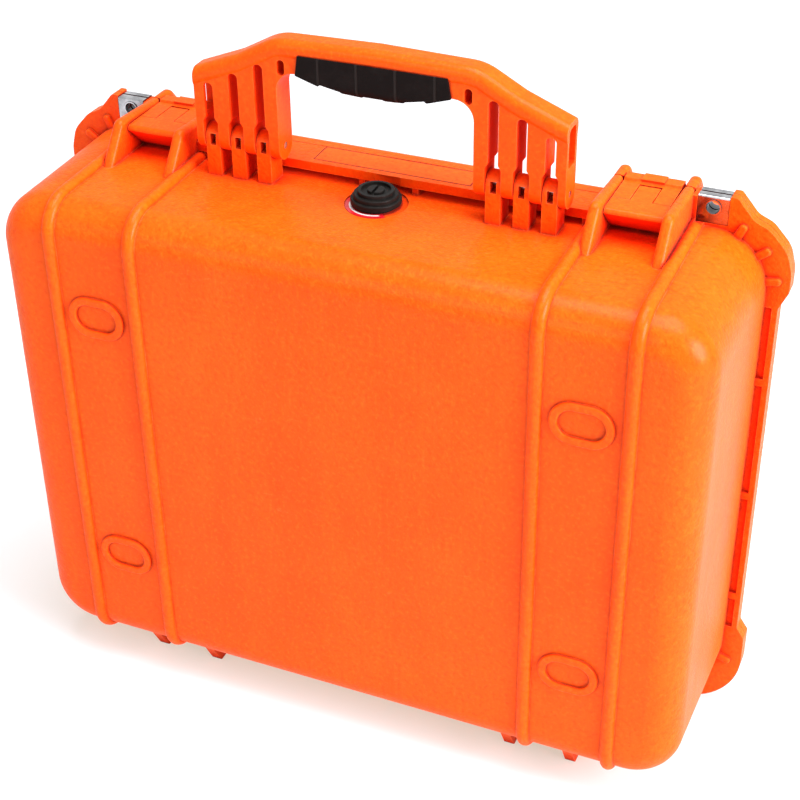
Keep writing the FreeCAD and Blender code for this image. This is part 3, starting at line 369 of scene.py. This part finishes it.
# Bright pressed steel for the padlock guards, duller turned steel for the pins, both with painted dark
# reflections in patches and painted shade in the hollows
guardSteel = {
    "colour": rgb(0.60, 0.60, 0.62),
    "shade": rgb(0.06, 0.06, 0.065),
    "roughness": 0.14,
    "brushed": (500.0, 4.0, 0.7),
    "brushedStretch": (1.0, 1.0, 0.08),
    "brushedRoughness": 0.12,
    "brushedDepth": 0.03 * mm,
    "brushedStrength": 0.5,
    "patch": (90.0, 4.0, 0.6),
    "reflectionPatchRange": (0.35, 0.70, 0.0, 0.75),
    "hollowReach": 10 * mm,
    "hollowShadeRange": (0.35, 1.0, 0.9, 0.0),
    "hollowSamples": 6,
}
pinSteel = dict(guardSteel, colour=rgb(0.62, 0.62, 0.63), shade=rgb(0.34, 0.34, 0.35), roughness=0.30,
                brushedStretch=(0.08, 1.0, 1.0))


def makeSteel(name, setup):
    f = Finish(name)
    brushed = f.noise(*setup["brushed"], stretch=setup["brushedStretch"])
    # patches of painted dark reflection
    colour = f.blend(f.span(f.noise(*setup["patch"]), *setup["reflectionPatchRange"]), setup["colour"], setup["shade"])
    # painted shade in the hollows
    hollow = f.openness(setup["hollowReach"], setup["hollowSamples"])
    colour = f.blend(f.span(hollow, *setup["hollowShadeRange"]), colour, setup["shade"])
    rough = f.maths("ADD", setup["roughness"], f.maths("MULTIPLY", brushed, setup["brushedRoughness"]))
    normal = f.bump(brushed, setup["brushedDepth"], setup["brushedStrength"])
    return f.finish(colour, rough, normal, Metallic=1.0)


# Red film under the valve knob with its pale band left bare of words
labelFilm = {
    "red": rgb(0.62, 0.008, 0.018),
    "band": rgb(0.88, 0.80, 0.80),
    "centre": (0.0, -8.0 * mm),
    "bandInner": 15.3 * mm,
    "bandOuter": 16.8 * mm,
    "bandStart": -172,       # degrees from the right, seen from above
    "bandEnd": -59,
    "fade": 3,               # degrees
    "edge": 0.25 * mm,
    "dirt": rgb(0.30, 0.05, 0.04),
    "dirtPatch": (300.0, 3.0, 0.6),
    "dirtRange": (0.5, 0.8, 0.0, 0.25),
    "roughness": (0.3, 0.7, 0.25, 0.4),
    "relief": 0.03 * mm,
    "reliefStrength": 0.4,
    "polish": 0.3,
}


def makeLabel(name, setup):
    f = Finish(name)
    across = f.maths("SUBTRACT", f.axis("X"), setup["centre"][0])
    along = f.maths("SUBTRACT", f.axis("Y"), setup["centre"][1])
    square = f.maths("ADD", f.maths("MULTIPLY", across, across), f.maths("MULTIPLY", along, along))
    reach = f.maths("SQRT", square)
    inside = f.span(reach, setup["bandInner"], setup["bandInner"] + setup["edge"])
    outside = f.span(reach, setup["bandOuter"], setup["bandOuter"] + setup["edge"], 1.0, 0.0)
    angle = f.maths("ARCTAN2", along, across)
    fade = setup["fade"]
    start = f.span(angle, math.radians(setup["bandStart"]), math.radians(setup["bandStart"] + fade))
    end = f.span(angle, math.radians(setup["bandEnd"] - fade), math.radians(setup["bandEnd"]), 1.0, 0.0)
    band = f.maths("MULTIPLY", f.maths("MULTIPLY", inside, outside), f.maths("MULTIPLY", start, end))
    dirt = f.noise(*setup["dirtPatch"])
    colour = f.blend(band, setup["red"], setup["band"])
    colour = f.blend(f.span(dirt, *setup["dirtRange"]), colour, setup["dirt"])
    return f.finish(colour, f.span(dirt, *setup["roughness"]),
                    f.bump(dirt, setup["relief"], setup["reliefStrength"]), Coat_Weight=setup["polish"])


# Open-cell foam
foamFinish = {
    "colour": rgb(0.022, 0.022, 0.025),
    "light": rgb(0.060, 0.060, 0.066),
    "dust": rgb(0.09, 0.09, 0.095),
    "cells": 900.0,
    "cellShare": 0.7,
    "clumps": (260.0, 4.0, 0.7),
    "clumpShare": 0.6,
    "lightRange": (0.25, 0.8),
    "broad": (12.0, 3.0, 0.6),
    "dustRange": (0.35, 0.7, 0.0, 0.25),
    "relief": 0.9 * mm,
    "reliefStrength": 0.9,
    "roughness": 0.95,
    "sheen": 0.25,
    "shine": 0.15,
}


def makeFoam(name, setup):
    f = Finish(name)
    mixed = f.maths("ADD", f.maths("MULTIPLY", f.cells(setup["cells"]), setup["cellShare"]),
                    f.maths("MULTIPLY", f.noise(*setup["clumps"]), setup["clumpShare"]))
    colour = f.blend(f.span(mixed, *setup["lightRange"]), setup["colour"], setup["light"])
    colour = f.blend(f.span(f.noise(*setup["broad"]), *setup["dustRange"]), colour, setup["dust"])
    return f.finish(colour, setup["roughness"], f.bump(mixed, setup["relief"], setup["reliefStrength"]),
                    Sheen_Weight=setup["sheen"], Specular_IOR_Level=setup["shine"])


orangeShell = makeOrange("orangeShell", orangePlastic)
handlePlastic = dict(orangePlastic, grain=900.0, grainDepth=0.12 * mm, sheen=0.02)
orangeHandle = makeOrange("orangeHandle", handlePlastic, flow=0.4)
platePlastic = dict(orangePlastic, colour=rgb(0.97, 0.125, 0.008), grainDepth=0.1 * mm)
orangePlate = makeOrange("orangePlate", platePlastic, flow=0.2, wearAndEdgeHighlight=0.4, edged="name_plate")
knobBlack = makeBlack("knobBlack", blackPlastic)
gripRubber = makeBlack("gripRubber", blackRubber, pads=gripPads)
sealRubber = makeBlack("sealRubber", sealBlack)
brightSteel = makeSteel("brightSteel", guardSteel)
turnedSteel = makeSteel("turnedSteel", pinSteel)
redFilm = makeLabel("redFilm", labelFilm)
greyFoam = makeFoam("greyFoam", foamFinish)

nodeFinishes = {
    "base_shell": orangeShell, "lid_shell": orangeShell,
    "handle_frame": orangeHandle, "name_plate": orangePlate,
    "latch_clamp_left": orangeHandle, "latch_clamp_right": orangeHandle,
    "latch_lever_left": orangeHandle, "latch_lever_right": orangeHandle,
    "hinge_pin_left": turnedSteel, "hinge_pin_right": turnedSteel,
    "latch_pin_left": turnedSteel, "latch_pin_right": turnedSteel,
    "lever_pin_left": turnedSteel, "lever_pin_right": turnedSteel,
    "handle_pin_left": turnedSteel, "handle_pin_right": turnedSteel,
    "base_padlock_guard_left": brightSteel, "base_padlock_guard_right": brightSteel,
    "lid_padlock_guard_left": brightSteel, "lid_padlock_guard_right": brightSteel,
    "valve_body": knobBlack, "valve_nut": knobBlack, "valve_knob": knobBlack,
    "valve_ring": sealRubber, "lid_seal": sealRubber,
    "valve_label": redFilm, "handle_grip": gripRubber,
    "base_foam_pad": greyFoam, "base_foam_block": greyFoam, "lid_foam": greyFoam,
}
for name, finish in nodeFinishes.items():
    mesh = solids[name].data
    mesh.materials.clear()
    mesh.materials.append(finish)
print("finishes laid on", len(nodeFinishes), "solids")


# Foam sheets: a slab with rounded corners whose rings step back into the case
cornerEase = 0.5             # share of an inset by which the corner's radius shrinks


def cornerPoint(u, v, halfWidth, halfHeight, corner):
    x, z = u * halfWidth, v * halfHeight
    pastX, pastZ = abs(x) - (halfWidth - corner), abs(z) - (halfHeight - corner)
    if pastX > 0 and pastZ > 0:
        x = math.copysign(halfWidth - corner + pastX * math.sqrt(1 - (pastZ / corner) ** 2 / 2), x)
        z = math.copysign(halfHeight - corner + pastZ * math.sqrt(1 - (pastX / corner) ** 2 / 2), z)
    return x, z


def foamSlab(name, setup, relief=None):
    across, up = setup["across"], setup["up"]
    mesh = bmesh.new()

    def sheet(depth, inset, lift):
        rows = []
        for j in range(up + 1):
            row = []
            for i in range(across + 1):
                x, z = cornerPoint(2 * i / across - 1, 2 * j / up - 1, setup["halfWidth"] - inset,
                                   setup["halfHeight"] - inset, setup["corner"] - inset * cornerEase)
                y = depth + (lift(x, z) if lift else 0)
                row.append(mesh.verts.new((x, y, z + setup["middle"])))
            rows.append(row)
        return rows

    def rim(rows):
        loop = list(rows[0])
        loop += [row[-1] for row in rows[1:]]
        loop += rows[-1][-2::-1]
        loop += [row[0] for row in rows[-2:0:-1]]
        return loop

    def ring(depth, inset):
        loop = []
        for u, v in ringShares:
            x, z = cornerPoint(u, v, setup["halfWidth"] - inset, setup["halfHeight"] - inset,
                               setup["corner"] - inset * cornerEase)
            loop.append(mesh.verts.new((x, depth, z + setup["middle"])))
        return loop

    ringShares = [(2 * i / across - 1, -1) for i in range(across + 1)]
    ringShares += [(1, 2 * j / up - 1) for j in range(1, up + 1)]
    ringShares += [(2 * i / across - 1, 1) for i in range(across - 1, -1, -1)]
    ringShares += [(-1, 2 * j / up - 1) for j in range(up - 1, 0, -1)]

    layers = setup["layers"]
    front = sheet(layers[0][0], layers[0][1], relief)
    loops = [rim(front)] + [ring(depth, inset) for depth, inset in layers[1:-1]]
    back = sheet(layers[-1][0], layers[-1][1], None)
    loops.append(rim(back))
    for rows, flip in ((front, False), (back, True)):
        for j in range(up):
            for i in range(across):
                corners = [rows[j][i], rows[j][i + 1], rows[j + 1][i + 1], rows[j + 1][i]]
                mesh.faces.new(corners[::-1] if flip else corners)
    for near, far in zip(loops, loops[1:]):
        for k in range(len(near)):
            n = (k + 1) % len(near)
            mesh.faces.new((near[n], near[k], far[k], far[n]))
    bmesh.ops.recalc_face_normals(mesh, faces=mesh.faces)
    return placeMesh(name, mesh)


def placeMesh(name, mesh, smooth=True):
    data = bpy.data.meshes.new(name)
    mesh.to_mesh(data)
    mesh.free()
    for face in data.polygons:
        face.use_smooth = smooth
    piece = bpy.data.objects.new(name, data)
    bpy.context.scene.collection.objects.link(piece)
    return piece


def sheetSize(node, inset):
    low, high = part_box(node)
    return {"halfWidth": (high.x - low.x) / 2 - inset, "halfHeight": (high.z - low.z) / 2 - inset,
            "middle": (high.z + low.z) / 2, "near": low.y, "far": high.y}


lidFoam = sheetSize("lid_foam", 0.8 * mm)
lidFoam.update({
    "corner": 31.0 * mm, "across": 132, "up": 98,
    # the place of each ring of the slab, and how far it is drawn in
    "layers": [(lidFoam["near"] + 2.4 * mm, 1.6 * mm), (lidFoam["near"] + 3.4 * mm, 0.5 * mm),
               (lidFoam["near"] + 5.0 * mm, 0.1 * mm), (lidFoam["far"] - 17.0 * mm, 1.9 * mm),
               (lidFoam["far"] - 10.0 * mm, 5.7 * mm), (lidFoam["far"] - 4.5 * mm, 11.6 * mm),
               (lidFoam["far"] - 0.6 * mm, 21.5 * mm)],
    "waveLength": 30.0 * mm, "waveDepth": 15.0 * mm, "waveMiddle": 0.37,
    "flatEdge": 4.0 * mm, "risingEdge": 12.0 * mm,
})


def lidWaves(x, z):
    setup = lidFoam
    toSide = min(setup["halfWidth"] - abs(x), setup["halfHeight"] - abs(z))
    past = math.hypot(max(abs(x) - setup["halfWidth"] + setup["corner"], 0),
                      max(abs(z) - setup["halfHeight"] + setup["corner"], 0))
    toSide = min(toSide, setup["corner"] - past) if past > 0 else toSide
    share = min(max((toSide - setup["flatEdge"]) / setup["risingEdge"], 0), 1)
    share = share * share * (3 - 2 * share)
    turn = 2 * math.pi / setup["waveLength"]
    wave = math.sin(x * turn) * math.sin(z * turn)
    return share * (wave / 2 + setup["waveMiddle"]) * setup["waveDepth"]


def soften(piece):
    softener = piece.modifiers.new("soft", "SUBSURF")
    softener.levels = softener.render_levels = 1
    return piece


lidSheet = soften(foamSlab("lid_foam_waved", lidFoam, lidWaves))

# The lower foam sheet and the laptop sheet laid on it, cut out to the floor around a laptop
baseFoam = sheetSize("base_foam_pad", 0.8 * mm)
baseFoam.update({
    "corner": 31.0 * mm, "across": 60, "up": 46,
    "layers": [(baseFoam["far"] - 0.3 * mm, 1.2 * mm), (baseFoam["far"] - 0.9 * mm, 0.3 * mm),
               (baseFoam["far"] - 3.0 * mm, 0.1 * mm), (baseFoam["near"] + 14.0 * mm, 0.9 * mm),
               (baseFoam["near"] + 8.0 * mm, 3.8 * mm), (baseFoam["near"] + 3.0 * mm, 8.8 * mm),
               (baseFoam["near"] + 0.5 * mm, 15.5 * mm)],
})
lowerSheet = soften(foamSlab("base_foam_lower", baseFoam))

laptopSheet = sheetSize("base_foam_block", 1.1 * mm)
laptopSheet.update({
    "corner": 31.0 * mm, "edge": 1.6 * mm,
    "pocketHalfWidth": 192.5 * mm, "pocketHalfHeight": 137.5 * mm, "pocketCorner": 14.0 * mm,
    "notch": 17.0 * mm, "notchSteps": 18, "edgeSteps": 3,
    "play": 0.2 * mm, "weld": 0.01 * mm,
})
valveRoom = {
    "radius": 17.3 * mm, "sides": 48,
    "depthPlace": -8.0 * mm, "under": 348.3 * mm, "over": 400.0 * mm,
}
cornerSteps = 14


def arcPoints(x, z, radius, start, end, steps=cornerSteps):
    points = []
    for k in range(steps + 1):
        angle = math.radians(start + (end - start) * k / steps)
        points.append((x + radius * math.cos(angle), z + radius * math.sin(angle)))
    return points


def roundedOutline(halfWidth, halfHeight, corner, middle):
    points = []
    for signX, signZ, start in ((1, 1, 0), (-1, 1, 90), (-1, -1, 180), (1, -1, 270)):
        points += arcPoints(signX * (halfWidth - corner), middle + signZ * (halfHeight - corner), corner,
                            start, start + 90)
    return points


def pocketOutline(setup):
    notch, half = setup["notch"], setup["pocketHalfHeight"]
    middle, edge, corner = setup["middle"], setup["pocketHalfWidth"], setup["pocketCorner"]
    points = arcPoints(edge - corner, middle + half - corner, corner, 0, 90)
    points += arcPoints(0, middle + half, notch, 0, 180, setup["notchSteps"])
    points += arcPoints(-edge + corner, middle + half - corner, corner, 90, 180)
    points += arcPoints(-edge + corner, middle - half + corner, corner, 180, 270)
    points += arcPoints(0, middle - half, notch, 180, 360, setup["notchSteps"])
    points += arcPoints(edge - corner, middle - half + corner, corner, 270, 360)
    return points


def cutSheet(name, outlines, near, far, edge, edgeSteps):
    data = bpy.data.curves.new(name, "CURVE")
    data.dimensions = "2D"
    data.fill_mode = "BOTH"
    data.extrude = (far - near) / 2 - edge
    data.bevel_depth = edge
    data.bevel_resolution = edgeSteps
    data.offset = -edge
    for outline in outlines:
        spline = data.splines.new("POLY")
        spline.points.add(len(outline) - 1)
        for point, (x, z) in zip(spline.points, outline):
            point.co = (x, z, 0, 1)
        spline.use_cyclic_u = True
    flat = bpy.data.objects.new(name + "_cut", data)
    bpy.context.scene.collection.objects.link(flat)
    bpy.context.view_layer.update()
    mesh = bpy.data.meshes.new_from_object(flat.evaluated_get(bpy.context.evaluated_depsgraph_get()))
    bpy.data.objects.remove(flat)
    standUp = Matrix(((1, 0, 0, 0), (0, 0, -1, (near + far) / 2), (0, 1, 0, 0), (0, 0, 0, 1)))
    mesh.transform(standUp)
    mesh.name = name
    return mesh


def makeLaptopSheet(setup):
    outline = roundedOutline(setup["halfWidth"], setup["halfHeight"], setup["corner"], setup["middle"])
    mesh = bmesh.new()
    mesh.from_mesh(cutSheet("laptop", [outline, pocketOutline(setup)], setup["near"] + setup["play"],
                            setup["far"] - setup["play"], setup["edge"], setup["edgeSteps"]))
    bmesh.ops.remove_doubles(mesh, verts=mesh.verts, dist=setup["weld"])
    return placeMesh("base_foam_laptop_sheet", mesh, smooth=False)


# Room in the foam for the purge valve: a round notch let into the top edge of a sheet
def cutRoom(piece, setup):
    mesh = bmesh.new()
    bmesh.ops.create_cone(mesh, cap_ends=True, segments=setup["sides"], radius1=setup["radius"],
                          radius2=setup["radius"], depth=setup["over"] - setup["under"])
    cutter = placeMesh("valve_room", mesh)
    cutter.location = (0, setup["depthPlace"], (setup["over"] + setup["under"]) / 2)
    cut = piece.modifiers.new("room", "BOOLEAN")
    cut.operation, cut.solver, cut.object = "DIFFERENCE", "EXACT", cutter
    bpy.context.view_layer.update()
    done = bpy.data.meshes.new_from_object(piece.evaluated_get(bpy.context.evaluated_depsgraph_get()))
    piece.modifiers.clear()
    piece.data = done
    bpy.data.objects.remove(cutter)


laptopFoam = makeLaptopSheet(laptopSheet)
cutRoom(lowerSheet, valveRoom)
cutRoom(laptopFoam, valveRoom)
for piece, node, body in ((lidSheet, "lid_foam", "lid"), (lowerSheet, "base_foam_pad", "base"),
                          (laptopFoam, "base_foam_block", "base")):
    piece.data.materials.append(greyFoam)
    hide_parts(node)
    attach(piece, body)
print("foam laid in")


# Floor, backdrop and soft studio lamps
studio = {
    "floorSize": 40.0,
    "floorSquares": 8,
    "floorRoughness": 0.9,
    "floorShine": 0.1,
    "paper": (30.0, 3.0, 0.55),
    "paperDepth": 0.4 * mm,
    "paperStrength": 0.2,
    "floorColour": rgb(0.86, 0.86, 0.86),
    "floorSeen": rgb(0.50, 0.52, 0.62),      # what the camera sees of it, with the glow on top
    "nearGlow": rgb(1.0, 0.96, 0.78),        # warm, so that the case's shadow is warm
    "farGlow": rgb(1.0, 1.0, 1.0),
    "nearGlowLevel": 0.52,
    "farGlowLevel": 0.88,    # far from the case the lamps fall off and the glow takes over
    "glowNear": 0.9,
    "glowFar": 2.2,
    "worldLight": 0.36,
    "lamps": [
        # name, place, aimed at, size, watts
        ("topSoftbox", (0.30, 0.0, 2.2), (0.0, 0.0, 0.2), 1.6, 56.0),
        ("rightSoftbox", (2.1, -0.5, 1.2), (0.1, 0.0, 0.2), 1.3, 82.0),
        ("frontSoftbox", (-0.7, -2.2, 1.5), (0.0, 0.0, 0.3), 1.4, 10.0),
    ],
}


def makeFloor(setup):
    squares = setup["floorSquares"]
    bpy.ops.mesh.primitive_grid_add(x_subdivisions=squares, y_subdivisions=squares, size=setup["floorSize"],
                                    location=(0, 0, 0))
    floor = bpy.context.object
    floor.name = "studio_floor"
    f = Finish("paperFloor")
    ray = f.add("ShaderNodeLightPath")
    seen = f.maths("MAXIMUM", ray.outputs["Is Camera Ray"],
                   f.maths("MAXIMUM", ray.outputs["Is Glossy Ray"], ray.outputs["Is Transmission Ray"]))
    colour = f.blend(seen, setup["floorColour"], setup["floorSeen"])
    f.finish(colour, setup["floorRoughness"],
             f.bump(f.noise(*setup["paper"]), setup["paperDepth"], setup["paperStrength"]),
             Specular_IOR_Level=setup["floorShine"])
    glow = f.add("ShaderNodeEmission")
    away = f.add("ShaderNodeVectorMath", operation="LENGTH")
    f.link(f.place, away.inputs[0])
    whiter = f.span(away.outputs["Value"], setup["glowNear"], setup["glowFar"])
    f.put(glow.inputs["Color"], f.blend(whiter, setup["nearGlow"], setup["farGlow"]))
    level = f.span(away.outputs["Value"], setup["glowNear"], setup["glowFar"],
                   setup["nearGlowLevel"], setup["farGlowLevel"])
    f.put(glow.inputs["Strength"], f.maths("MULTIPLY", seen, level))
    both = f.add("ShaderNodeAddShader")
    f.link(f.shader.outputs["BSDF"], both.inputs[0])
    f.link(glow.outputs["Emission"], both.inputs[1])
    f.link(both.outputs["Shader"], f.tree.nodes["Material Output"].inputs["Surface"])
    floor.data.materials.append(f.material)


def makeWorld(setup):
    world = bpy.data.worlds.new("studioWorld")
    bpy.context.scene.world = world
    world.use_nodes = True
    tree = world.node_tree
    back = tree.nodes["Background"]
    back.inputs["Color"].default_value = rgb(1, 1, 1)
    ray = tree.nodes.new("ShaderNodeLightPath")
    either = tree.nodes.new("ShaderNodeMath")
    either.operation = "MAXIMUM"
    tree.links.new(ray.outputs["Is Camera Ray"], either.inputs[0])
    glossy = tree.nodes.new("ShaderNodeMath")
    glossy.operation = "MAXIMUM"
    tree.links.new(ray.outputs["Is Glossy Ray"], glossy.inputs[0])
    tree.links.new(ray.outputs["Is Transmission Ray"], glossy.inputs[1])
    tree.links.new(glossy.outputs["Value"], either.inputs[1])
    strength = tree.nodes.new("ShaderNodeMapRange")
    tree.links.new(either.outputs["Value"], strength.inputs[0])
    strength.inputs[3].default_value = setup["worldLight"]
    strength.inputs[4].default_value = 1.0
    tree.links.new(strength.outputs["Result"], back.inputs["Strength"])


def makeLamps(setup):
    for name, place, target, size, watts in setup["lamps"]:
        data = bpy.data.lights.new(name, "AREA")
        data.shape = "DISK"
        data.size = size
        data.energy = watts
        lamp = bpy.data.objects.new(name, data)
        bpy.context.scene.collection.objects.link(lamp)
        lamp.location = place
        aim = Vector(target) - Vector(place)
        lamp.rotation_mode = "QUATERNION"
        lamp.rotation_quaternion = aim.to_track_quat("-Z", "Y")


makeFloor(studio)
makeWorld(studio)
makeLamps(studio)
bpy.context.scene.view_settings.view_transform = "Standard"
print("studio lit")
